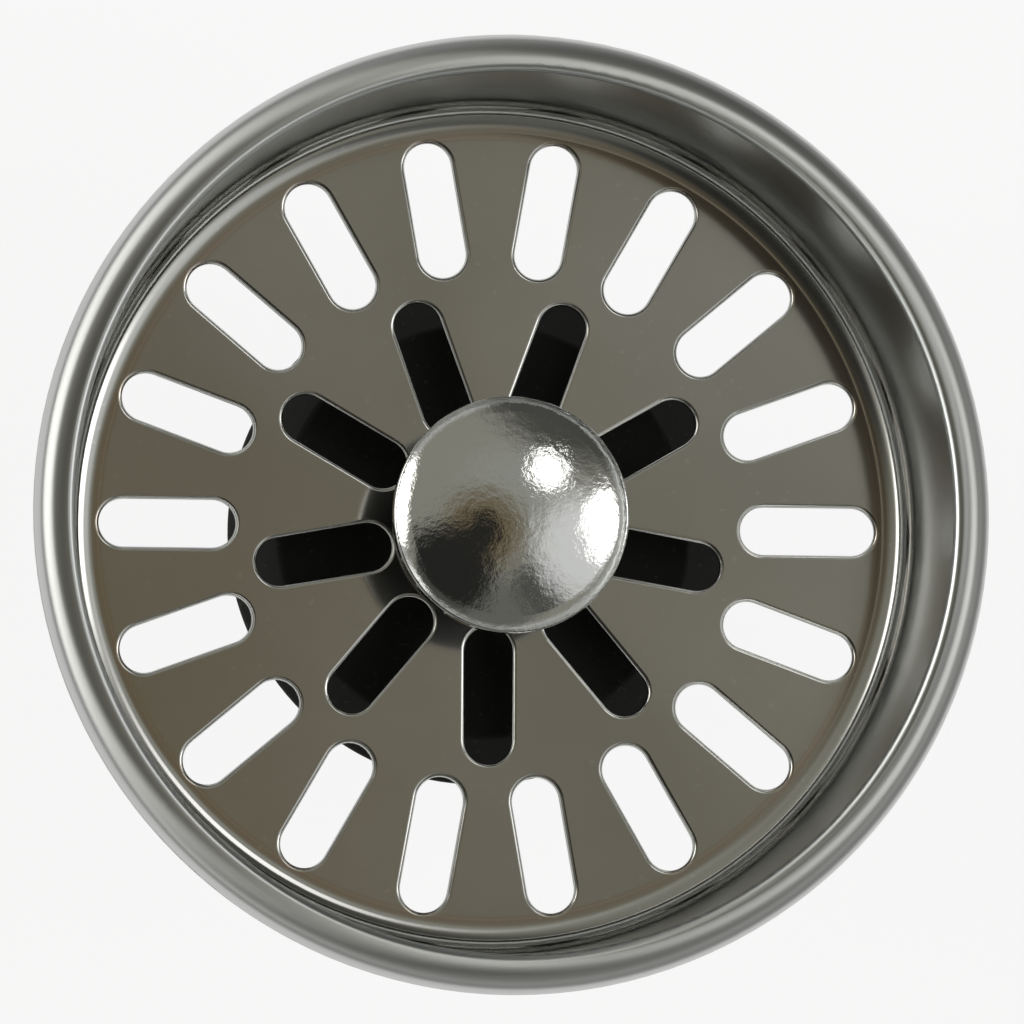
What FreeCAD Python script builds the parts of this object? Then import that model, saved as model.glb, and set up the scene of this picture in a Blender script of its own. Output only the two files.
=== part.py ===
import FreeCAD, Part
import math
import os

# A basket strainer for a kitchen sink waste, in millimetres.
# The origin is the middle of the guide post's flat lower end, and +Z is up, along the strainer's axis.

# Cup: one pressing of stainless sheet, with a flat slotted floor, a short wall and a rolled rim.
SHEET = 0.6
RIM_R = 40.0
CUP_DEPTH = 20.0
FLOOR_FLAT_R = 34.0
CORNER_R = 2.5
WALL_DRAFT_DEG = 0.5
ROLL_INNER_R = 0.75
RIM_LIP_DROP = 0.5

# Slots: an outer and an inner ring cut with the same punch, clear of the foot washer and of each other.
SLOT_LENGTH = 11.7
SLOT_WIDTH = 4.1
SLOT_EDGE_ROUNDING = 0.35
SLOT_TO_FOOT_GAP = 0.3
SLOT_RING_WEB = 1.5
OUTER_SLOTS = 18
OUTER_SLOT_START_DEG = 0.0
INNER_SLOTS = 9
INNER_SLOT_START_DEG = 30.0

# Spindle: a plain rod stands for an M5 stud, with one clearance in threads and one in plain holes.
THREAD_R = 2.5
THREAD_CLEARANCE = 0.05
PLAIN_CLEARANCE = 0.15
ROD_END_CHAMFER = 0.4
ROD_END_GAP = 0.3

# Guide post, which drops into the hub of the drain.
GUIDE_R = 5.0
GUIDE_LENGTH = 6.0
GUIDE_TOP_CHAMFER = 0.4
NOSE_R = 4.8
NOSE_LENGTH = 7.0
NOSE_CHAMFER = 0.9
POST_THREAD_DEPTH = 5.0

# Detent: two balls and a spring in the post's cross hole.
BALL_R = 2.0
BALL_HEIGHT = 4.3
BALL_PROTRUSION = 0.9
BALL_CLEARANCE = 0.06
STAKED_LIP = 0.6
SPRING_WIRE_R = 0.2
SPRING_MEAN_R = 1.3
SPRING_TURNS = 4
SPRING_END_GAP = 0.02
SPRING_POINTS_PER_TURN = 16

# Lock nut, spring washer and backing plate.
NUT_ACROSS_FLATS = 8.0
NUT_HEIGHT = 2.7
NUT_CHAMFER_DEG = 30.0
SPRING_WASHER_R = 4.6
SPRING_WASHER_HEIGHT = 1.2
SPRING_WASHER_SPLIT = 0.7
SPRING_WASHER_SPLIT_DEG = 20.0
BACKING_R = 13.0
BACKING_THICKNESS = 1.0
BACKING_ROUNDING = 0.3

# Rubber stopper: a flat web with a lip that flares down and out.
STOPPER_WEB = 3.0
STOPPER_TOP_R = 17.8
STOPPER_TOP_ROUNDING = 0.8
STOPPER_LIP_R = 21.75
STOPPER_LIP_BELOW_FLOOR = 9.0
STOPPER_LIP_EDGE = 1.6
STOPPER_LIP_BAND = 1.3
STOPPER_LIP_ROUNDING = 0.45
STOPPER_POCKET_R = 15.4
STOPPER_POCKET_ROUNDING = 1.2

# Swivel bush: its spigot carries the cup's floor, which turns on it.
BUSH_SHOULDER_R = 7.5
BUSH_SHOULDER_HEIGHT = 3.4
BUSH_SPIGOT_R = 4.0
BUSH_ROUNDING = 0.4
SWIVEL_SIDE_CLEARANCE = 0.08
SWIVEL_END_CLEARANCE = 0.05

# Foot washer and sleeve, between the floor and the knob.
FOOT_R = 8.25
FOOT_THICKNESS = 1.4
FOOT_LOWER_ROUNDING = 0.2
FOOT_UPPER_ROUNDING = 0.6
SLEEVE_R = 5.2
SLEEVE_LENGTH = 10.2
SLEEVE_ROUNDING = 0.3

# Knob: a shallow dome with a round shoulder and a beaded lip, hollow below round a threaded insert.
KNOB_R = 9.9
KNOB_DOME_R = 22.0
KNOB_SHOULDER_R = 3.6
KNOB_SHOULDER_LEAN_DEG = 45.0
KNOB_LIP_WIDTH = 0.2
KNOB_LIP_BEAD_R = 0.25
KNOB_LIP_HEIGHT = 1.75
KNOB_LIP_ROUNDING = 0.4
KNOB_LIP_ABOVE_BOSS = 1.9
KNOB_HOLLOW_R = 8.0
KNOB_HOLLOW_DEPTH = 1.6
KNOB_BOSS_R = 5.2
INSERT_R = 3.6
INSERT_LENGTH = 4.6
INSERT_CLEARANCE = 0.03
INSERT_GROOVE_DEPTH = 0.3
INSERT_GROOVE_WIDTH = 0.9

# Places that follow from the sizes: first outwards, then stacked up from the post's lower end.
INNER_SLOT_START_R = FOOT_R + SLOT_TO_FOOT_GAP
OUTER_SLOT_START_R = INNER_SLOT_START_R + SLOT_LENGTH + SLOT_RING_WEB
POST_TOP = NOSE_LENGTH + GUIDE_LENGTH
NUT_TOP = POST_TOP + NUT_HEIGHT
SPRING_WASHER_TOP = NUT_TOP + SPRING_WASHER_HEIGHT
BACKING_TOP = SPRING_WASHER_TOP + BACKING_THICKNESS
STOPPER_TOP = BACKING_TOP + STOPPER_WEB
SHOULDER_TOP = STOPPER_TOP + BUSH_SHOULDER_HEIGHT
FLOOR_BOTTOM = SHOULDER_TOP + SWIVEL_END_CLEARANCE
FLOOR_TOP = FLOOR_BOTTOM + SHEET
FOOT_BOTTOM = FLOOR_TOP + SWIVEL_END_CLEARANCE
FOOT_TOP = FOOT_BOTTOM + FOOT_THICKNESS
SLEEVE_TOP = FOOT_TOP + SLEEVE_LENGTH
INSERT_TOP = SLEEVE_TOP + INSERT_LENGTH
KNOB_LIP_BOTTOM = SLEEVE_TOP + KNOB_LIP_ABOVE_BOSS
KNOB_LIP_TOP = KNOB_LIP_BOTTOM + KNOB_LIP_HEIGHT
ROD_BOTTOM = POST_TOP - POST_THREAD_DEPTH + ROD_END_GAP
ROD_TOP = INSERT_TOP - ROD_END_GAP
THREAD_HOLE_R = THREAD_R + THREAD_CLEARANCE
PLAIN_HOLE_R = THREAD_R + PLAIN_CLEARANCE
BALL_REST_X = NOSE_R + BALL_PROTRUSION - BALL_R
BALL_HOLE_R = BALL_R + BALL_CLEARANCE

AXIS = FreeCAD.Vector(0, 0, 1)
ACROSS = FreeCAD.Vector(1, 0, 0)
ORIGIN = FreeCAD.Vector(0, 0, 0)
SAME_PLACE = 1e-6


def at(radius, height):
    """A point of a lathe outline."""
    return FreeCAD.Vector(radius, 0, height)


def line(start, end):
    return Part.LineSegment(start, end).toShape()


def arc(centre, radius, first_deg, last_deg):
    """An arc of a lathe outline, with angles counted from outwards to upwards."""
    angles = [first_deg, (first_deg + last_deg) / 2, last_deg]
    steps = [at(math.cos(math.radians(a)), math.sin(math.radians(a))) for a in angles]
    return Part.Arc(*[centre + step * radius for step in steps]).toShape()


def start_of(edge):
    return edge.valueAt(edge.FirstParameter)


def end_of(edge):
    return edge.valueAt(edge.LastParameter)


def joined(edges):
    """A closed outline from edges in order, with a straight edge wherever one ends apart from the next."""
    chain = []
    for index, edge in enumerate(edges):
        following = edges[(index + 1) % len(edges)]
        chain.append(edge)
        if end_of(edge).distanceToPoint(start_of(following)) > SAME_PLACE:
            chain.append(line(end_of(edge), start_of(following)))
    return chain


def turned(edges):
    """A solid of revolution from a closed lathe outline."""
    return Part.Face(Part.Wire(edges)).revolve(ORIGIN, AXIS, 360)


def turned_corners(corners):
    """A solid of revolution through corners given as radius, height and rounding."""
    places = [at(radius, height) for radius, height, rounding in corners]
    trims = []
    for index, (radius, height, rounding) in enumerate(corners):
        corner = places[index]
        back = (places[index - 1] - corner).normalize()
        ahead = (places[(index + 1) % len(places)] - corner).normalize()
        half = back.getAngle(ahead) / 2
        inward = (back + ahead).normalize() if rounding else ORIGIN
        setback = rounding / math.tan(half)
        nearest = corner + inward * (rounding / math.sin(half) - rounding)
        trims.append((corner + back * setback, nearest, corner + ahead * setback, rounding))
    edges = []
    for index, (first, nearest, last, rounding) in enumerate(trims):
        following = trims[(index + 1) % len(trims)][0]
        if rounding:
            edges.append(Part.Arc(first, nearest, last).toShape())
        if last.distanceToPoint(following) > SAME_PLACE:
            edges.append(line(last, following))
    return turned(edges)


def basket_cup():
    draft = math.radians(WALL_DRAFT_DEG)
    corner_centre = at(FLOOR_FLAT_R, FLOOR_TOP + CORNER_R)
    wall_foot = corner_centre + at(math.cos(draft), -math.sin(draft)) * CORNER_R
    roll_height = FLOOR_TOP + CUP_DEPTH - ROLL_INNER_R
    wall_rise = roll_height + ROLL_INNER_R * math.sin(draft) - wall_foot.z
    wall_head = wall_foot + at(math.tan(draft), 1) * wall_rise
    inner_roll = at(wall_head.x + ROLL_INNER_R * math.cos(draft), roll_height)
    outer_roll_r = RIM_R - inner_roll.x
    outer_roll = at(inner_roll.x, FLOOR_TOP + CUP_DEPTH - outer_roll_r)
    lip_edge = at(RIM_R, outer_roll.z - RIM_LIP_DROP)
    hole_r = BUSH_SPIGOT_R + SWIVEL_SIDE_CLEARANCE
    wall_start = -WALL_DRAFT_DEG
    roll_start = 180 - WALL_DRAFT_DEG
    floor_edge = line(at(hole_r, FLOOR_BOTTOM), at(hole_r, FLOOR_TOP))
    inside = [arc(corner_centre, CORNER_R, -90, wall_start), arc(inner_roll, ROLL_INNER_R, roll_start, 90)]
    over_rim = arc(outer_roll, outer_roll_r, 90, 0)
    edge_round = arc(lip_edge - at(SHEET / 2, 0), SHEET / 2, 0, -180)
    under_rim = arc(outer_roll, outer_roll_r - SHEET, 0, 90)
    outside = [arc(inner_roll, ROLL_INNER_R - SHEET, 90, roll_start),
               arc(corner_centre, CORNER_R + SHEET, wall_start, -90)]
    cup = turned(joined([floor_edge] + inside + [over_rim, edge_round, under_rim] + outside))
    slots = slot_ring(OUTER_SLOTS, OUTER_SLOT_START_R, OUTER_SLOT_START_DEG)
    slots += slot_ring(INNER_SLOTS, INNER_SLOT_START_R, INNER_SLOT_START_DEG)
    slotted = cup.cut(Part.makeCompound(slots))
    return rounded_slot_edges(slotted)


def slot_ring(count, start_r, start_deg):
    """Cutters for one ring of radial slots with round ends."""
    half = SLOT_WIDTH / 2
    near = start_r + half
    far = start_r + SLOT_LENGTH - half
    corners = [FreeCAD.Vector(near, -half, 0), FreeCAD.Vector(far, -half, 0),
               FreeCAD.Vector(far, half, 0), FreeCAD.Vector(near, half, 0)]
    far_end = FreeCAD.Vector(far + half, 0, 0)
    near_end = FreeCAD.Vector(near - half, 0, 0)
    edges = [line(corners[0], corners[1]), Part.Arc(corners[1], far_end, corners[2]).toShape(),
             line(corners[2], corners[3]), Part.Arc(corners[3], near_end, corners[0]).toShape()]
    cutter = Part.Face(Part.Wire(edges)).extrude(AXIS * (3 * SHEET))
    cutter.translate(AXIS * (FLOOR_BOTTOM - SHEET))
    ring = []
    for index in range(count):
        slot = cutter.copy()
        slot.rotate(ORIGIN, AXIS, start_deg + index * 360 / count)
        ring.append(slot)
    return ring


def rounded_slot_edges(cup):
    """The cup with the upper edges of its slots rolled over, as the punch leaves them."""
    upper = []
    for edge in cup.Edges:
        box = edge.BoundBox
        level = abs(box.ZMin - FLOOR_TOP) < SAME_PLACE and abs(box.ZMax - FLOOR_TOP) < SAME_PLACE
        round_axis = max(abs(box.Center.x), abs(box.Center.y)) < SLOT_WIDTH
        if level and not round_axis:
            upper.append(edge)
    return cup.makeFillet(SLOT_EDGE_ROUNDING, upper)


def knob():
    """A hollow button: dome, round shoulder, beaded lip, and a boss that holds the insert."""
    bead = at(KNOB_R - KNOB_LIP_BEAD_R, KNOB_LIP_TOP - KNOB_LIP_BEAD_R)
    crease_x = KNOB_R - KNOB_LIP_WIDTH
    crease_z = bead.z + math.sqrt(KNOB_LIP_BEAD_R ** 2 - (crease_x - bead.x) ** 2)
    end_lean = math.radians(KNOB_SHOULDER_LEAN_DEG)
    shoulder = at(crease_x, crease_z) - at(math.sin(end_lean), math.cos(end_lean)) * KNOB_SHOULDER_R
    dome_lean = math.asin(shoulder.x / (KNOB_DOME_R - KNOB_SHOULDER_R))
    dome = at(0, shoulder.z - (KNOB_DOME_R - KNOB_SHOULDER_R) * math.cos(dome_lean))
    dome_edge_deg = 90 - math.degrees(dome_lean)
    bead_start_deg = math.degrees(math.atan2(crease_z - bead.z, crease_x - bead.x))
    lip_round = at(KNOB_R - KNOB_LIP_ROUNDING, KNOB_LIP_BOTTOM + KNOB_LIP_ROUNDING)
    ceiling = KNOB_LIP_BOTTOM + KNOB_HOLLOW_DEPTH
    insert_hole_r = INSERT_R + INSERT_CLEARANCE
    outer = [
        arc(dome, KNOB_DOME_R, 90, dome_edge_deg),
        arc(shoulder, KNOB_SHOULDER_R, dome_edge_deg, 90 - KNOB_SHOULDER_LEAN_DEG),
        arc(bead, KNOB_LIP_BEAD_R, bead_start_deg, 0),
        arc(lip_round, KNOB_LIP_ROUNDING, 0, -90),
    ]
    hollow = [
        line(at(KNOB_HOLLOW_R, KNOB_LIP_BOTTOM), at(KNOB_HOLLOW_R, ceiling)),
        line(at(KNOB_BOSS_R, ceiling), at(KNOB_BOSS_R, SLEEVE_TOP)),
        line(at(insert_hole_r, SLEEVE_TOP), at(insert_hole_r, INSERT_TOP)),
    ]
    middle = [line(at(0, INSERT_TOP), at(0, dome.z + KNOB_DOME_R))]
    return turned(joined(outer + hollow + middle))


def knob_insert():
    """A brass bush with a groove that keys it into the moulding."""
    groove_low = (SLEEVE_TOP + INSERT_TOP - INSERT_GROOVE_WIDTH) / 2
    groove_high = groove_low + INSERT_GROOVE_WIDTH
    groove_r = INSERT_R - INSERT_GROOVE_DEPTH
    return turned_corners([
        (THREAD_HOLE_R, SLEEVE_TOP, 0),
        (INSERT_R, SLEEVE_TOP, 0),
        (INSERT_R, groove_low, 0),
        (groove_r, groove_low, 0),
        (groove_r, groove_high, 0),
        (INSERT_R, groove_high, 0),
        (INSERT_R, INSERT_TOP, 0),
        (THREAD_HOLE_R, INSERT_TOP, 0),
    ])


def post_sleeve():
    return turned_corners([
        (PLAIN_HOLE_R, FOOT_TOP, 0),
        (SLEEVE_R, FOOT_TOP, SLEEVE_ROUNDING),
        (SLEEVE_R, SLEEVE_TOP, SLEEVE_ROUNDING),
        (PLAIN_HOLE_R, SLEEVE_TOP, 0),
    ])


def foot_washer():
    return turned_corners([
        (PLAIN_HOLE_R, FOOT_BOTTOM, 0),
        (FOOT_R, FOOT_BOTTOM, FOOT_LOWER_ROUNDING),
        (FOOT_R, FOOT_TOP, FOOT_UPPER_ROUNDING),
        (PLAIN_HOLE_R, FOOT_TOP, 0),
    ])


def swivel_bush():
    """The spigot stands a little taller than the floor is thick, so the clamped stack leaves the cup free."""
    return turned_corners([
        (PLAIN_HOLE_R, STOPPER_TOP, 0),
        (BUSH_SHOULDER_R, STOPPER_TOP, BUSH_ROUNDING),
        (BUSH_SHOULDER_R, SHOULDER_TOP, BUSH_ROUNDING),
        (BUSH_SPIGOT_R, SHOULDER_TOP, 0),
        (BUSH_SPIGOT_R, FOOT_BOTTOM, 0),
        (PLAIN_HOLE_R, FOOT_BOTTOM, 0),
    ])


def spindle_rod():
    return turned_corners([
        (0, ROD_BOTTOM, 0),
        (THREAD_R - ROD_END_CHAMFER, ROD_BOTTOM, 0),
        (THREAD_R, ROD_BOTTOM + ROD_END_CHAMFER, 0),
        (THREAD_R, ROD_TOP - ROD_END_CHAMFER, 0),
        (THREAD_R - ROD_END_CHAMFER, ROD_TOP, 0),
        (0, ROD_TOP, 0),
    ])


def stopper():
    lip_bottom = FLOOR_TOP - STOPPER_LIP_BELOW_FLOOR
    return turned_corners([
        (PLAIN_HOLE_R, BACKING_TOP, 0),
        (STOPPER_POCKET_R, BACKING_TOP, STOPPER_POCKET_ROUNDING),
        (STOPPER_LIP_R - STOPPER_LIP_EDGE, lip_bottom, STOPPER_LIP_ROUNDING),
        (STOPPER_LIP_R, lip_bottom, STOPPER_LIP_ROUNDING),
        (STOPPER_LIP_R, lip_bottom + STOPPER_LIP_BAND, STOPPER_LIP_ROUNDING),
        (STOPPER_TOP_R, STOPPER_TOP, STOPPER_TOP_ROUNDING),
        (PLAIN_HOLE_R, STOPPER_TOP, 0),
    ])


def backing_plate():
    return turned_corners([
        (PLAIN_HOLE_R, SPRING_WASHER_TOP, 0),
        (BACKING_R, SPRING_WASHER_TOP, BACKING_ROUNDING),
        (BACKING_R, BACKING_TOP, BACKING_ROUNDING),
        (PLAIN_HOLE_R, BACKING_TOP, 0),
    ])


def spring_washer():
    """A split washer, drawn flat as it is when tightened."""
    ring = turned_corners([
        (PLAIN_HOLE_R, NUT_TOP, 0),
        (SPRING_WASHER_R, NUT_TOP, 0),
        (SPRING_WASHER_R, SPRING_WASHER_TOP, 0),
        (PLAIN_HOLE_R, SPRING_WASHER_TOP, 0),
    ])
    reach = 2 * SPRING_WASHER_R
    split = Part.makeBox(reach, SPRING_WASHER_SPLIT, reach)
    split.translate(FreeCAD.Vector(0, -SPRING_WASHER_SPLIT / 2, -reach / 2))
    split.rotate(ORIGIN, ACROSS, SPRING_WASHER_SPLIT_DEG)
    split.translate(AXIS * ((NUT_TOP + SPRING_WASHER_TOP) / 2))
    return ring.cut(split)


def lock_nut():
    """A thin hexagon nut with its corners turned off on both faces."""
    corner_r = NUT_ACROSS_FLATS / math.sqrt(3)
    hexagon = []
    for index in range(7):
        turn = math.radians(60 * index)
        hexagon.append(FreeCAD.Vector(corner_r * math.cos(turn), corner_r * math.sin(turn), POST_TOP))
    prism = Part.Face(Part.makePolygon(hexagon)).extrude(AXIS * NUT_HEIGHT)
    face_r = NUT_ACROSS_FLATS / 2
    drop = (corner_r - face_r) * math.tan(math.radians(NUT_CHAMFER_DEG))
    blank = turned_corners([
        (THREAD_HOLE_R, POST_TOP, 0),
        (face_r, POST_TOP, 0),
        (corner_r, POST_TOP + drop, 0),
        (corner_r, NUT_TOP - drop, 0),
        (face_r, NUT_TOP, 0),
        (THREAD_HOLE_R, NUT_TOP, 0),
    ])
    return prism.common(blank)


def guide_post():
    """A turned post: a plain guide above, and a slightly smaller nose with the cross hole for the balls."""
    step = GUIDE_R - NOSE_R
    thread_end = POST_TOP - POST_THREAD_DEPTH
    post = turned_corners([
        (0, 0, 0),
        (NOSE_R - NOSE_CHAMFER, 0, 0),
        (NOSE_R, NOSE_CHAMFER, 0),
        (NOSE_R, NOSE_LENGTH - step, 0),
        (GUIDE_R, NOSE_LENGTH, 0),
        (GUIDE_R, POST_TOP - GUIDE_TOP_CHAMFER, 0),
        (GUIDE_R - GUIDE_TOP_CHAMFER, POST_TOP, 0),
        (THREAD_HOLE_R, POST_TOP, 0),
        (THREAD_HOLE_R, thread_end, 0),
        (0, thread_end, 0),
    ])
    return post.cut(ball_hole())


def ball_hole():
    """The cross hole along X, narrowed at both mouths where the edge is staked over the balls."""
    staked_x = NOSE_R - STAKED_LIP
    mouth_r = math.sqrt(BALL_R ** 2 - (NOSE_R - BALL_REST_X) ** 2) + BALL_CLEARANCE
    hole = Part.makeCylinder(BALL_HOLE_R, 2 * staked_x, FreeCAD.Vector(-staked_x, 0, BALL_HEIGHT), ACROSS)
    for side in (-1, 1):
        inner_end = FreeCAD.Vector(side * staked_x, 0, BALL_HEIGHT)
        outer_end = FreeCAD.Vector(side * NOSE_R, 0, BALL_HEIGHT)
        hole = hole.fuse(Part.makeCone(BALL_HOLE_R, mouth_r, STAKED_LIP, inner_end, ACROSS * side))
        hole = hole.fuse(Part.makeCylinder(mouth_r, STAKED_LIP, outer_end, ACROSS * side))
    return hole


def detent_ball(side):
    return Part.makeSphere(BALL_R, FreeCAD.Vector(side * BALL_REST_X, 0, BALL_HEIGHT))


def detent_spring():
    """A coil from ball to ball."""
    end_x = BALL_REST_X - math.sqrt((BALL_R + SPRING_WIRE_R) ** 2 - SPRING_MEAN_R ** 2) - SPRING_END_GAP
    steps = SPRING_TURNS * SPRING_POINTS_PER_TURN
    points = []
    for step in range(steps + 1):
        turn = 2 * math.pi * step / SPRING_POINTS_PER_TURN
        along = end_x * (2 * step / steps - 1)
        points.append(FreeCAD.Vector(along, SPRING_MEAN_R * math.cos(turn),
                                     BALL_HEIGHT + SPRING_MEAN_R * math.sin(turn)))
    route = Part.BSplineCurve()
    route.interpolate(points)
    heading = route.tangent(route.FirstParameter)[0]
    section = Part.Wire(Part.Circle(points[0], heading, SPRING_WIRE_R).toShape())
    return Part.Wire(route.toShape()).makePipeShell([section], True, False)


def write(name, shape):
    shape.exportStep("parts/" + name + ".step")
    state = "valid" if shape.isValid() else "NOT VALID"
    print(name, len(shape.Solids), "solid", round(shape.Volume, 1), "mm3", state)


os.makedirs("parts", exist_ok=True)
write("basket_cup", basket_cup())
write("knob", knob())
write("knob_insert", knob_insert())
write("post_sleeve", post_sleeve())
write("foot_washer", foot_washer())
write("swivel_bush", swivel_bush())
write("spindle_rod", spindle_rod())
write("stopper", stopper())
write("backing_plate", backing_plate())
write("spring_washer", spring_washer())
write("lock_nut", lock_nut())
write("guide_post", guide_post())
write("detent_ball_left", detent_ball(-1))
write("detent_ball_right", detent_ball(1))
write("detent_spring", detent_spring())
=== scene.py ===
import math

import bmesh
import bpy
from mathutils import Matrix, Vector


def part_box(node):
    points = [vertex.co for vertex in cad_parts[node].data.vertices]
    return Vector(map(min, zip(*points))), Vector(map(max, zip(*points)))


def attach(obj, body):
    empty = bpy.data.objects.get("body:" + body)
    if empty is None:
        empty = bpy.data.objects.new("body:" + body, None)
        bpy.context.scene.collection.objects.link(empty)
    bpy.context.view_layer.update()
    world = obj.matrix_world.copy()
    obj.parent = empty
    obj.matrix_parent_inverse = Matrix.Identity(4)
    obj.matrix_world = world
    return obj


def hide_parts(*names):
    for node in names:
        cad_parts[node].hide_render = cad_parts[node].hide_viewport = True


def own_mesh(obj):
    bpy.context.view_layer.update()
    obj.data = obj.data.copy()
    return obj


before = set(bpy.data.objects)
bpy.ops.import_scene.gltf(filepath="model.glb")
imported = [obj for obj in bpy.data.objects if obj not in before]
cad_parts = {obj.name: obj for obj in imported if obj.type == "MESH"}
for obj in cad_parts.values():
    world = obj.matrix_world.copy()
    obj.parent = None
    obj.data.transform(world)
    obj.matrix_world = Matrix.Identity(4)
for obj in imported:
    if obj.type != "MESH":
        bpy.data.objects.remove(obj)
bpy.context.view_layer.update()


def colour(red, green, blue):
    return (red, green, blue, 1.0)


# Places on the cup, in metres: heights from the frame, and the radii and rolls of its section.
MILLIMETRE = 0.001
RIM_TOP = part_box("basket_cup")[1][2]
CUP_DEPTH = 20.0 * MILLIMETRE
FLOOR_TOP = RIM_TOP - CUP_DEPTH
FLOOR_EDGE_RADIUS = 34.0 * MILLIMETRE
CORNER_HEIGHT = FLOOR_TOP + 2.5 * MILLIMETRE
WALL_RADIUS = 36.6 * MILLIMETRE
RIM_CROWN_RADIUS = 37.40 * MILLIMETRE
INNER_ROLL_HEIGHT = RIM_TOP - 0.75 * MILLIMETRE
OUTER_ROLL_HEIGHT = RIM_TOP - 2.60 * MILLIMETRE

# Where the cup's finishes and marks begin and end.
FLOOR_FINISH_TOP = FLOOR_TOP + 0.2 * MILLIMETRE
RIM_FINISH_START = WALL_RADIUS - 0.1 * MILLIMETRE
RIM_FINISH_FULL = RIM_CROWN_RADIUS + 0.5 * MILLIMETRE
SLOT_FREE_RADIUS = FLOOR_EDGE_RADIUS - 0.2 * MILLIMETRE
TINT_START = FLOOR_EDGE_RADIUS - 0.7 * MILLIMETRE
TINT_SOFTNESS = 0.25 * MILLIMETRE
DIE_LINE_START = FLOOR_EDGE_RADIUS - 0.5 * MILLIMETRE
DIE_LINE_END = FLOOR_EDGE_RADIUS - 0.4 * MILLIMETRE
DIE_LINE_SOFTNESS = 0.05 * MILLIMETRE

# The knob's underside, painted near black as painted shade: all of it below the lip, and the hollow above
# that.
KNOB_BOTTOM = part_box("knob")[0][2]
KNOB_LIP_UNDERSIDE = KNOB_BOTTOM + 2.05 * MILLIMETRE
KNOB_HOLLOW_RADIUS = 8.6 * MILLIMETRE
KNOB_HOLLOW_TOP = KNOB_BOTTOM + 3.55 * MILLIMETRE

# Points of its mesh that lie this close together are made one.
MERGE_DISTANCE = 1e-7

# The cup's polish: roughness of each region, what the marks add to it, and how deep they are.
FLOOR_ROUGHNESS = 0.12
WALL_ROUGHNESS = 0.29
RIM_ROUGHNESS = 0.40
STAIN_ROUGHNESS = 0.03
RING_ROUGHNESS = 0.04
RIM_RING_ROUGHNESS = 0.12
FLOOR_RELIEF = 0.02
RIM_RELIEF = 0.5
CUP_RELIEF_DEPTH = 0.004 * MILLIMETRE
CUP_ANISOTROPY = 0.95
BLUR_ALONG_RIM = 0.0

# How strongly the marks on the cup's floor colour it.
TINT_STRENGTH = 0.15
TINT_STRENGTH_IN_STAINS = 0.45
DIE_LINE_STRENGTH = 0.8
SPECK_STRENGTH = 0.35

# Polishing rings slant, so that they show on flat and on upright faces.
# The guard keeps the axis from dividing by 0.
RING_SLANT = 0.7
AXIS_GUARD = 1e-5

# A worked-out normal replaces the mesh's own where the two lie within this angle.
NORMAL_FIT = math.cos(math.radians(25))

# Where the photograph was taken from, counted from the middle of the cup's floor,
# and the pixel at which that middle is seen.
CAMERA_LEAN_DEG = 8.1
CAMERA_SIDE_DEG = 209.9
CAMERA_ROLL_DEG = 0.27
CAMERA_DISTANCE = 0.600
CAMERA_CLIP_START = 0.01
IMAGE_PIXELS = 1024
FLOOR_PIXELS_PER_METRE = 11688.0
FLOOR_CENTRE_PIXEL = (489.3, 527.5)
SENSOR_WIDTH = 36.0

# A round key lamp, as wide and tall as it looks from the strainer.
LAMP_DISTANCE = 0.9
LAMP_SIDE_DEG = 46
LAMP_HEIGHT_DEG = 57
LAMP_WIDE_DEG = 17
LAMP_TALL_DEG = 18
LAMP_BRIGHTNESS = 1.3

# A room of soft round patches, each over the ones before it. A patch has a side and a height in degrees,
# an angle within which it is full, one beyond which it is gone, and a colour.
ROOM_COLOUR = colour(0.48, 0.485, 0.47)
CEILING_COLOUR = colour(0.282, 0.278, 0.240)
COOL_COLOUR = colour(0.320, 0.325, 0.290)
WARM_COLOUR = colour(0.150, 0.117, 0.066)
HAZE_COLOUR = colour(0.150, 0.152, 0.138)
DIM_COLOUR = colour(0.075, 0.076, 0.068)
DARK_COLOUR = colour(0.022, 0.022, 0.020)
GLOW_COLOUR = colour(0.75, 0.76, 0.75)
LOW_GLOW_COLOUR = colour(1.30, 1.30, 1.25)
WINDOW_COLOUR = colour(3.2, 3.2, 3.15)
SIDE_WINDOW_COLOUR = colour(3.6, 3.6, 3.45)
ROOM_PATCHES = [
    (0, 90, 64, 78, CEILING_COLOUR),
    (50, 76, 8, 34, COOL_COLOUR),
    (209, 82, 6, 24, WARM_COLOUR),
    (210, 82, 4, 11, DARK_COLOUR),
    (300, 54, 6, 18, DIM_COLOUR),
    (262, 38, 15, 32, HAZE_COLOUR),
    (228, 36, 13, 24, DIM_COLOUR),
    (224, 58, 15, 26, DARK_COLOUR),
    (60, 18, 22, 42, DIM_COLOUR),
    (216, 3, 8, 18, LOW_GLOW_COLOUR),
    (346, 50, 12, 28, GLOW_COLOUR),
    (0, 37, 8, 17, WINDOW_COLOUR),
    (168, 17, 16, 27, SIDE_WINDOW_COLOUR),
]

# A round white paper on a grey table, a hair below the post's end; its soft edge is a painted pool of light
# that glows white to the eye and to the metal and fades into the grey.
# Close to the axis, the paper doesn't glow into the metal: a painted shadow there stands in for the shade of
# the stopper and the cup.
WHITE = colour(1.0, 1.0, 1.0)
PAPER_WHITE = colour(0.92, 0.92, 0.92)
TABLE_GREY = colour(0.34, 0.34, 0.33)
TABLE_HALF_WIDTH = 1.5
PAPER_POOL_MIDDLE = (-0.045, -0.010, 0.0)
PAPER_POOL_RADIUS = 0.115
PAPER_POOL_FADE = 0.070
PAPER_GLOW = 0.88
PAPER_DROP = 0.02 * MILLIMETRE
SHADE_RADIUS = 0.034
SHADE_FADE = 0.030


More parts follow.
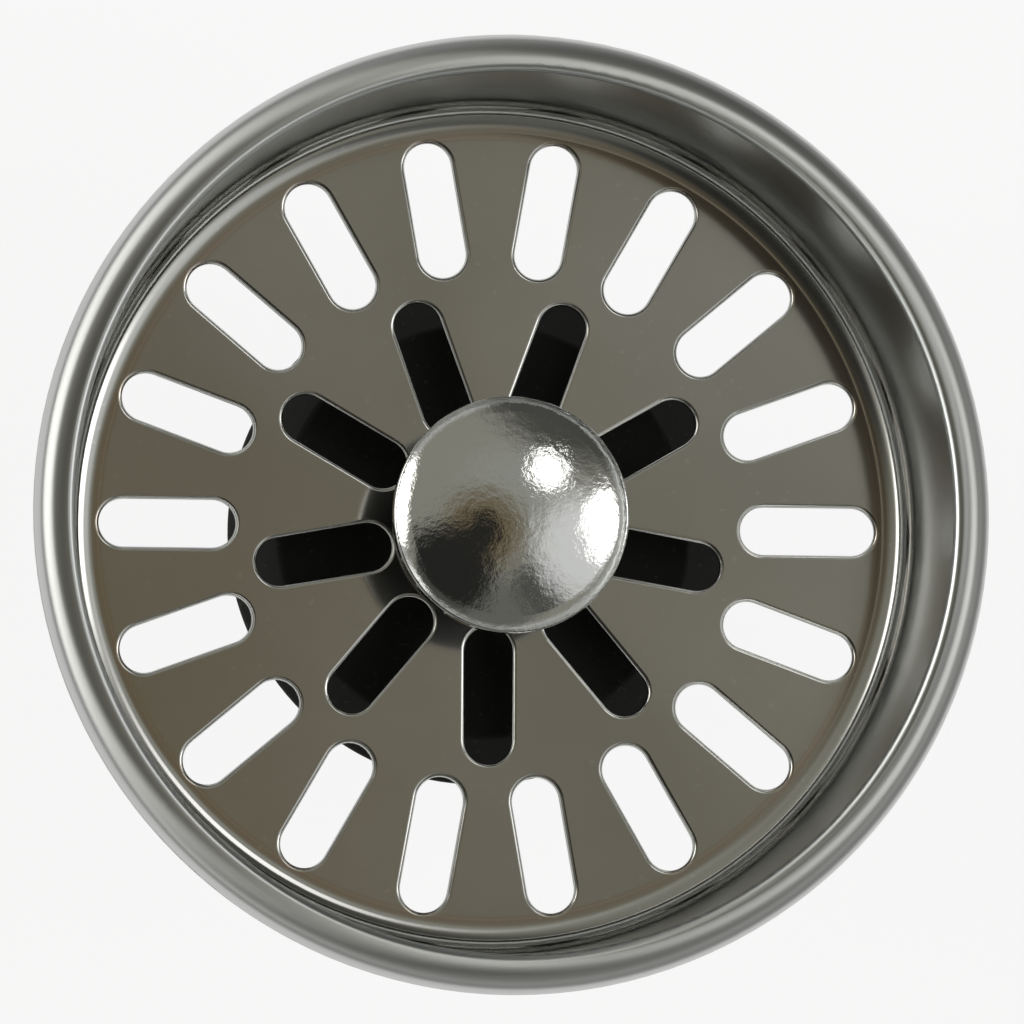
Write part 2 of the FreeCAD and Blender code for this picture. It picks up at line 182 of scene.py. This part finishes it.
class Wire:
    """One socket of a node tree, for arithmetic."""

    def __init__(self, graph, socket):
        self.graph = graph
        self.socket = socket

    def maths(self, operation, first, second):
        return self.graph.add("ShaderNodeMath", {"operation": operation}, {0: first, 1: second})

    def __add__(self, other):
        return self.maths("ADD", self, other)

    def __radd__(self, other):
        return self.maths("ADD", other, self)

    def __sub__(self, other):
        return self.maths("SUBTRACT", self, other)

    def __rsub__(self, other):
        return self.maths("SUBTRACT", other, self)

    def __mul__(self, other):
        return self.maths("MULTIPLY", self, other)

    def __rmul__(self, other):
        return self.maths("MULTIPLY", other, self)

    def __truediv__(self, other):
        return self.maths("DIVIDE", self, other)

    def __rtruediv__(self, other):
        return self.maths("DIVIDE", other, self)

    def __gt__(self, other):
        return self.maths("GREATER_THAN", self, other)

    def at_least(self, low):
        return self.maths("MAXIMUM", self, low)

    def at_most(self, high):
        return self.maths("MINIMUM", self, high)


class Graph:
    """A node tree that is filled one node at a time."""

    def __init__(self, tree):
        self.tree = tree
        tree.nodes.clear()

    def add(self, kind, settings=None, sockets=None, output=0):
        """A new node: its settings, then the values or links of its sockets. Gives one of its outputs."""
        node = self.tree.nodes.new(kind)
        for name, value in (settings or {}).items():
            setattr(node, name, value)
        for key, value in (sockets or {}).items():
            if isinstance(value, Wire):
                self.tree.links.new(value.socket, node.inputs[key])
            else:
                node.inputs[key].default_value = value
        return Wire(self, node.outputs[output]) if node.outputs else node

    def vector(self, operation, first, second=None, output=0):
        operands = {0: first} if second is None else {0: first, 1: second}
        return self.add("ShaderNodeVectorMath", {"operation": operation}, operands, output)

    def step(self, value, low, high):
        """0 below low, 1 above high, and a soft step between."""
        sockets = {"Value": value, "From Min": low, "From Max": high}
        return self.add("ShaderNodeMapRange", {"interpolation_type": "SMOOTHSTEP"}, sockets)

    def band(self, value, low, high, soft):
        """1 between low and high, 0 outside, with soft edges."""
        return self.step(value, low - soft, low + soft) * (1 - self.step(value, high - soft, high + soft))

    def mix(self, factor, first, second):
        """One colour over another."""
        return self.add("ShaderNodeMix", {"data_type": "RGBA"}, {0: factor, 6: first, 7: second}, output=2)


class Finish(Graph):
    """A material with the places and patterns that the strainer's finishes share."""

    def __init__(self, name):
        self.material = bpy.data.materials.new(name)
        self.material.use_nodes = True
        super().__init__(self.material.node_tree)
        self.place = self.add("ShaderNodeTexCoord", output="Object")

    def part_of_place(self, letter):
        return self.add("ShaderNodeSeparateXYZ", None, {0: self.place}, output=letter)

    def off_axis(self):
        return self.vector("MULTIPLY", self.place, (1, 1, 0))

    def distance_from_axis(self):
        return self.vector("LENGTH", self.off_axis(), output="Value")

    def speckle(self, size, detail=2.0, rough=0.5, place=None):
        """Noise from 0 to 1 whose blotches are about that size, in metres unless a place is given."""
        sockets = {"Vector": place or self.place, "Scale": 1 / size, "Detail": detail, "Roughness": rough}
        return self.add("ShaderNodeTexNoise", None, sockets)

    def turning_marks(self, pitch, around):
        """Fine rings about the axis, as a lathe or a polishing wheel leaves them, fading as they go round."""
        x = self.part_of_place("X")
        y = self.part_of_place("Y")
        z = self.part_of_place("Z")
        radius = self.distance_from_axis()
        across = (radius + z * RING_SLANT) / pitch
        spread = around / (radius + AXIS_GUARD)
        ring = self.add("ShaderNodeCombineXYZ", None, {0: x * spread, 1: y * spread, 2: across})
        return self.speckle(1.0, detail=3.0, rough=0.6, place=ring)

    def turned_normal(self, outward, upward, within):
        """The true normal of a turned face, from its parts away from the axis and along it.

        It serves within a mask, wherever the mesh faces nearly the same way.
        Elsewhere the mesh's own normal does.
        """
        away = self.vector("NORMALIZE", self.off_axis())
        sideways = self.add("ShaderNodeCombineXYZ", None, {0: outward, 1: outward})
        lengthways = self.add("ShaderNodeCombineXYZ", None, {2: upward})
        lathe = self.vector("ADD", self.vector("MULTIPLY", away, sideways), lengthways)
        spaces = {"vector_type": "NORMAL", "convert_from": "OBJECT", "convert_to": "WORLD"}
        true = self.vector("NORMALIZE", self.add("ShaderNodeVectorTransform", spaces, {0: lathe}))
        face = self.add("ShaderNodeNewGeometry", output="True Normal")
        meshed = self.add("ShaderNodeNewGeometry", output="Normal")
        fits = self.vector("DOT_PRODUCT", true, face, "Value") > NORMAL_FIT
        choice = {0: fits * within, 4: meshed, 5: true}
        return self.add("ShaderNodeMix", {"data_type": "VECTOR"}, choice, output=1)

    def bump(self, height, depth, normal=None):
        sockets = {"Distance": depth, "Height": height}
        if normal:
            sockets["Normal"] = normal
        return self.add("ShaderNodeBump", None, sockets)

    def done(self, sockets):
        surface = self.add("ShaderNodeBsdfPrincipled", None, sockets)
        self.add("ShaderNodeOutputMaterial", None, {"Surface": surface})
        return self.material


def cup_steel():
    """Pressed stainless, polished round its axis: a soft mirror on the floor, satin on wall and rim."""
    finish = Finish("cup_steel")
    radius = finish.distance_from_axis()
    height = finish.part_of_place("Z")
    raised = finish.step(height, FLOOR_FINISH_TOP, CORNER_HEIGHT)
    on_rim = finish.step(radius, RIM_FINISH_START, RIM_FINISH_FULL)
    on_floor = 1 - raised
    rings = finish.turning_marks(pitch=0.10 * MILLIMETRE, around=1.5) - 0.5
    stains = finish.speckle(9 * MILLIMETRE, detail=4.0, rough=0.6)
    grain = finish.speckle(0.25 * MILLIMETRE, detail=2.0, rough=0.6) - 0.5
    risen = finish.mix(raised, floor_colour(finish, radius, on_floor, stains), colour(0.59, 0.605, 0.60))
    polish = FLOOR_ROUGHNESS + raised * (WALL_ROUGHNESS - FLOOR_ROUGHNESS)
    rim_polish = polish + on_rim * (RIM_ROUGHNESS - WALL_ROUGHNESS)
    marks = stains * STAIN_ROUGHNESS + rings * (RING_ROUGHNESS + on_rim * RIM_RING_ROUGHNESS)
    relief = rings * (on_floor * FLOOR_RELIEF + on_rim * RIM_RELIEF) + grain * on_floor * FLOOR_RELIEF
    return finish.done({
        "Base Color": finish.mix(on_rim, risen, colour(0.57, 0.575, 0.565)),
        "Metallic": 1.0,
        "Roughness": rim_polish + marks,
        "Anisotropic": CUP_ANISOTROPY,
        "Anisotropic Rotation": BLUR_ALONG_RIM,
        "Normal": finish.bump(relief, CUP_RELIEF_DEPTH, cup_normal(finish, radius, height)),
    })


def floor_colour(finish, radius, on_floor, stains):
    """Stained steel with light specks, and by the corner a warm tint and the thin line of the die."""
    specks = finish.step(finish.speckle(0.7 * MILLIMETRE, detail=1.0), low=0.71, high=0.76)
    tint_ring = finish.band(radius, TINT_START, FLOOR_EDGE_RADIUS, TINT_SOFTNESS) * on_floor
    die_line = finish.band(radius, DIE_LINE_START, DIE_LINE_END, DIE_LINE_SOFTNESS) * on_floor
    tint = tint_ring * (TINT_STRENGTH + stains * TINT_STRENGTH_IN_STAINS)
    clean = finish.mix(stains, colour(0.55, 0.545, 0.52), colour(0.60, 0.595, 0.575))
    tinted = finish.mix(tint, clean, colour(0.50, 0.37, 0.27))
    lined = finish.mix(die_line * stains * DIE_LINE_STRENGTH, tinted, colour(0.72, 0.68, 0.62))
    return finish.mix(specks * on_floor * SPECK_STRENGTH, lined, colour(0.74, 0.73, 0.70))


def cup_normal(finish, radius, height):
    """The cup's upper side: flat floor, hollow corner, upright wall, inner roll and outer roll."""
    upper = height > (CORNER_HEIGHT + INNER_ROLL_HEIGHT) / 2
    past_crown = radius > RIM_CROWN_RADIUS
    roll_height = INNER_ROLL_HEIGHT + past_crown * (OUTER_ROLL_HEIGHT - INNER_ROLL_HEIGHT)
    roll_upward = (height - roll_height).at_least(0.0)
    corner_upward = (CORNER_HEIGHT - height).at_least(0.0)
    corner_outward = (FLOOR_EDGE_RADIUS - radius).at_most(0.0)
    outward = upper * (radius - RIM_CROWN_RADIUS) + (1 - upper) * corner_outward
    upward = upper * roll_upward + (1 - upper) * corner_upward
    return finish.turned_normal(outward / MILLIMETRE, upward / MILLIMETRE, radius > SLOT_FREE_RADIUS)


def knob_chrome():
    """Mirror chrome with orange peel and wipe marks; the underside is painted near black and not metallic, as
    painted shade.
    """
    finish = Finish("knob_chrome")
    height = finish.part_of_place("Z")
    peel = finish.speckle(0.9 * MILLIMETRE, detail=1.0, rough=0.5)
    pits = finish.speckle(0.24 * MILLIMETRE, detail=2.0, rough=0.6)
    wipes = finish.speckle(5 * MILLIMETRE, detail=5.0, rough=0.65)
    plate = finish.mix(wipes, colour(0.68, 0.68, 0.665), colour(0.74, 0.74, 0.73))
    # Painted shade: the underside is near black and not metallic, so that it and its image in the floor read
    # dark.
    underside_shade_colour = finish.mix(wipes, colour(0.020, 0.020, 0.019), colour(0.030, 0.030, 0.028))
    below_lip = KNOB_LIP_UNDERSIDE - height > 0
    in_hollow = (KNOB_HOLLOW_RADIUS - finish.distance_from_axis() > 0) * (KNOB_HOLLOW_TOP - height > 0)
    painted_underside_shade = (below_lip + in_hollow).at_most(1.0)
    return finish.done({
        "Base Color": finish.mix(painted_underside_shade, plate, underside_shade_colour),
        "Metallic": 1 - painted_underside_shade,
        "Roughness": 0.03 + wipes * 0.05 + painted_underside_shade * 0.4,
        "Normal": finish.bump(peel + pits * 0.5, depth=0.026 * MILLIMETRE),
    })


def turned_chrome(name):
    """Plate over turned metal: faint rings show through."""
    finish = Finish(name)
    rings = finish.turning_marks(pitch=0.18 * MILLIMETRE, around=0.8)
    wipes = finish.speckle(4 * MILLIMETRE, detail=4.0, rough=0.6)
    return finish.done({
        "Base Color": finish.mix(wipes, colour(0.57, 0.57, 0.56), colour(0.64, 0.64, 0.63)),
        "Metallic": 1.0,
        "Roughness": 0.09 + rings * 0.10 + wipes * 0.04,
        "Normal": finish.bump(rings, depth=0.006 * MILLIMETRE),
    })


def plated_steel():
    """Zinc-plated hardware, a little cloudy."""
    finish = Finish("plated_steel")
    clouds = finish.speckle(1.6 * MILLIMETRE, detail=4.0, rough=0.6)
    grain = finish.speckle(0.15 * MILLIMETRE)
    return finish.done({
        "Base Color": finish.mix(clouds, colour(0.47, 0.48, 0.49), colour(0.58, 0.58, 0.57)),
        "Metallic": 1.0,
        "Roughness": 0.26 + clouds * 0.16,
        "Normal": finish.bump(grain, depth=0.006 * MILLIMETRE),
    })


def ball_steel():
    """A polished ball with fine scuffs."""
    finish = Finish("ball_steel")
    scuffs = finish.speckle(0.5 * MILLIMETRE, detail=5.0, rough=0.7)
    return finish.done({
        "Base Color": finish.mix(scuffs, colour(0.58, 0.58, 0.58), colour(0.66, 0.66, 0.66)),
        "Metallic": 1.0,
        "Roughness": 0.05 + scuffs * 0.10,
    })


def turned_brass():
    """Brass with lathe rings, dulled in places."""
    finish = Finish("turned_brass")
    rings = finish.turning_marks(pitch=0.15 * MILLIMETRE, around=0.8)
    dulling = finish.speckle(1.5 * MILLIMETRE, detail=4.0, rough=0.6)
    return finish.done({
        "Base Color": finish.mix(dulling, colour(0.66, 0.49, 0.20), colour(0.50, 0.37, 0.16)),
        "Metallic": 1.0,
        "Roughness": 0.20 + rings * 0.15,
        "Normal": finish.bump(rings, depth=0.006 * MILLIMETRE),
    })


def bush_nylon():
    """Natural nylon, faintly mottled."""
    finish = Finish("bush_nylon")
    mottle = finish.speckle(2.0 * MILLIMETRE, detail=4.0, rough=0.6)
    grain = finish.speckle(0.2 * MILLIMETRE)
    return finish.done({
        "Base Color": finish.mix(mottle, colour(0.78, 0.77, 0.72), colour(0.70, 0.69, 0.63)),
        "Roughness": 0.42 + mottle * 0.12,
        "Normal": finish.bump(grain, depth=0.008 * MILLIMETRE),
    })


def stopper_rubber():
    """Moulded black rubber with a grey bloom, a little dust and a fine matt skin."""
    finish = Finish("stopper_rubber")
    bloom = finish.speckle(4 * MILLIMETRE, detail=5.0, rough=0.65)
    skin = finish.speckle(0.22 * MILLIMETRE, detail=3.0, rough=0.6)
    dust = finish.step(finish.speckle(0.6 * MILLIMETRE, detail=1.0), low=0.68, high=0.74)
    black = finish.mix(bloom, colour(0.005, 0.005, 0.005), colour(0.013, 0.013, 0.012))
    return finish.done({
        "Base Color": finish.mix(dust * 0.25, black, colour(0.06, 0.06, 0.055)),
        "Roughness": 0.62 + bloom * 0.20,
        "Specular IOR Level": 0.25,
        "Normal": finish.bump(skin, depth=0.02 * MILLIMETRE),
    })


def dress(material, *nodes):
    for node in nodes:
        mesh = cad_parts[node].data
        mesh.materials.clear()
        mesh.materials.append(material)


dress(cup_steel(), "basket_cup")
dress(knob_chrome(), "knob")
dress(turned_chrome("fitting_chrome"), "post_sleeve", "foot_washer")
dress(turned_chrome("post_chrome"), "guide_post")
plated = plated_steel()
dress(plated, "spindle_rod", "backing_plate", "spring_washer", "lock_nut")
dress(ball_steel(), "detent_ball_left", "detent_ball_right")
dress(turned_brass(), "knob_insert")
dress(bush_nylon(), "swivel_bush")
dress(stopper_rubber(), "stopper")


def half_coil_mesh(name, middle, outwards):
    """The spring's mesh on one side of its middle, closed where it is cut."""
    shape = bmesh.new()
    shape.from_mesh(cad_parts["detent_spring"].data)
    bmesh.ops.remove_doubles(shape, verts=shape.verts[:], dist=MERGE_DISTANCE)
    everything = shape.verts[:] + shape.edges[:] + shape.faces[:]
    cut = bmesh.ops.bisect_plane(
        shape, geom=everything, plane_co=middle, plane_no=(outwards, 0, 0), clear_inner=True)["geom_cut"]
    bmesh.ops.holes_fill(shape, edges=[item for item in cut if isinstance(item, bmesh.types.BMEdge)])
    mesh = bpy.data.meshes.new(name)
    shape.to_mesh(mesh)
    shape.free()
    mesh.shade_smooth()
    mesh.materials.append(plated)
    return mesh


def spring_half(side, outwards):
    """The coil between the balls, from its middle to one ball."""
    low, high = (Vector(corner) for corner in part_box("detent_spring"))
    middle = (low + high) / 2
    mesh = half_coil_mesh("detent_spring_" + side, middle, outwards)
    half = bpy.data.objects.new(mesh.name, mesh)
    bpy.context.scene.collection.objects.link(half)
    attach(half, "spindle")
    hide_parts("detent_spring")
    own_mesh(half)


spring_half("left", -1)
spring_half("right", 1)


def paper_floor():
    """A flat square under the strainer: the white paper, a painted pool of light, and the table around it."""
    far = TABLE_HALF_WIDTH
    corners = [(x, y, -PAPER_DROP) for x, y in ((-far, -far), (far, -far), (far, far), (-far, far))]
    mesh = bpy.data.meshes.new("paper")
    mesh.from_pydata(corners, [], [(0, 1, 2, 3)])
    mesh.materials.append(paper_with_painted_pool())
    paper = bpy.data.objects.new("paper", mesh)
    bpy.context.scene.collection.objects.link(paper)


def paper_with_painted_pool():
    """White paper on a grey table, with a painted pool of light: its glow fades from white to grey away from
    a point beside the axis, shows to the eye and to the metal, and the floor keeps the shadow.

    From below it is clear, so that the underside can be looked at.
    """
    material = bpy.data.materials.new("paper")
    material.use_nodes = True
    graph = Graph(material.node_tree)
    place = graph.add("ShaderNodeTexCoord", output="Object")
    from_middle = graph.vector("DISTANCE", place, PAPER_POOL_MIDDLE, "Value")
    from_axis = graph.vector("LENGTH", place, output="Value")
    past_pool = graph.step(from_middle, PAPER_POOL_RADIUS, PAPER_POOL_RADIUS + PAPER_POOL_FADE)
    # Painted shadow: near the axis the metal sees the paper without its glow.
    unshaded = graph.step(from_axis, SHADE_RADIUS, SHADE_RADIUS + SHADE_FADE)
    seen = graph.add("ShaderNodeLightPath", output="Is Camera Ray")
    mirrored = graph.add("ShaderNodeLightPath", output="Is Glossy Ray")
    through = graph.add("ShaderNodeLightPath", output="Is Transmission Ray")
    from_below = graph.add("ShaderNodeNewGeometry", output="Backfacing")
    lit = graph.add("ShaderNodeBsdfDiffuse", None, {"Color": graph.mix(past_pool, PAPER_WHITE, TABLE_GREY)})
    # Painted pool of light: the glow is white within the round and fades to the table's grey beyond it.
    pool_glow_colour = graph.mix(past_pool, WHITE, TABLE_GREY)
    glow = graph.add("ShaderNodeEmission", None, {"Color": pool_glow_colour, "Strength": 1.0})
    clear = graph.add("ShaderNodeBsdfTransparent")
    share = (seen + through + mirrored * unshaded) * PAPER_GLOW
    upper_side = graph.add("ShaderNodeMixShader", None, {0: share, 1: lit, 2: glow})
    surface = graph.add("ShaderNodeMixShader", None, {0: from_below, 1: upper_side, 2: clear})
    graph.add("ShaderNodeOutputMaterial", None, {"Surface": surface})
    return material


def direction(side_deg, height_deg):
    """A unit vector: the side is counted from +X towards +Y, the height from the horizon."""
    side = math.radians(side_deg)
    height = math.radians(height_deg)
    return Vector((math.cos(height) * math.cos(side), math.cos(height) * math.sin(side), math.sin(height)))


def key_lamp():
    """A round softbox that shines on the middle of the rim's plane."""
    lamp = bpy.data.lights.new("key_lamp", "AREA")
    lamp.shape = "ELLIPSE"
    lamp.size = 2 * LAMP_DISTANCE * math.tan(math.radians(LAMP_WIDE_DEG / 2))
    lamp.size_y = 2 * LAMP_DISTANCE * math.tan(math.radians(LAMP_TALL_DEG / 2))
    lamp.energy = LAMP_BRIGHTNESS * math.pi * lamp.size * lamp.size_y
    holder = bpy.data.objects.new("key_lamp", lamp)
    towards = direction(LAMP_SIDE_DEG, LAMP_HEIGHT_DEG)
    holder.location = towards * LAMP_DISTANCE + Vector((0, 0, RIM_TOP))
    holder.rotation_euler = towards.to_track_quat("Z", "Y").to_euler()
    bpy.context.scene.collection.objects.link(holder)


def room():
    """A dim ceiling, cooler to the far side, soft windows right and low on the left, a dark near side."""
    world = bpy.data.worlds.new("room")
    bpy.context.scene.world = world
    world.use_nodes = True
    graph = Graph(world.node_tree)
    heading = graph.add("ShaderNodeTexCoord", output="Generated")
    shade = ROOM_COLOUR
    for side_deg, height_deg, inner_deg, outer_deg, patch_colour in ROOM_PATCHES:
        nearness = graph.vector("DOT_PRODUCT", heading, direction(side_deg, height_deg), "Value")
        inside = graph.step(nearness, math.cos(math.radians(outer_deg)), math.cos(math.radians(inner_deg)))
        shade = graph.mix(inside, shade, patch_colour)
    sky = graph.add("ShaderNodeBackground", None, {"Color": shade, "Strength": 1.0})
    graph.add("ShaderNodeOutputWorld", None, {"Surface": sky})


def camera():
    """The photograph's view: image right is close to +X and image up to +Y."""
    middle = Vector((0, 0, FLOOR_TOP))
    place = middle + direction(CAMERA_SIDE_DEG, 90 - CAMERA_LEAN_DEG) * CAMERA_DISTANCE
    off_right = (FLOOR_CENTRE_PIXEL[0] - IMAGE_PIXELS / 2) / FLOOR_PIXELS_PER_METRE
    off_up = (IMAGE_PIXELS / 2 - FLOOR_CENTRE_PIXEL[1]) / FLOOR_PIXELS_PER_METRE
    aim = middle - Vector((off_right, off_up, 0))
    towards = (place - aim).normalized()
    right = Vector((0, 1, 0)).cross(towards).normalized()
    right.rotate(Matrix.Rotation(math.radians(CAMERA_ROLL_DEG), 3, towards))
    up = towards.cross(right)
    lens = bpy.data.cameras.new("camera")
    lens.sensor_width = SENSOR_WIDTH
    lens.lens = CAMERA_DISTANCE * FLOOR_PIXELS_PER_METRE / IMAGE_PIXELS * SENSOR_WIDTH
    lens.clip_start = CAMERA_CLIP_START
    holder = bpy.data.objects.new("camera", lens)
    turn = Matrix((right, up, towards)).transposed().to_4x4()
    holder.matrix_world = Matrix.Translation(place) @ turn
    bpy.context.scene.collection.objects.link(holder)
    bpy.context.scene.camera = holder


paper_floor()
key_lamp()
room()
camera()
bpy.context.scene.view_settings.view_transform = "Standard"
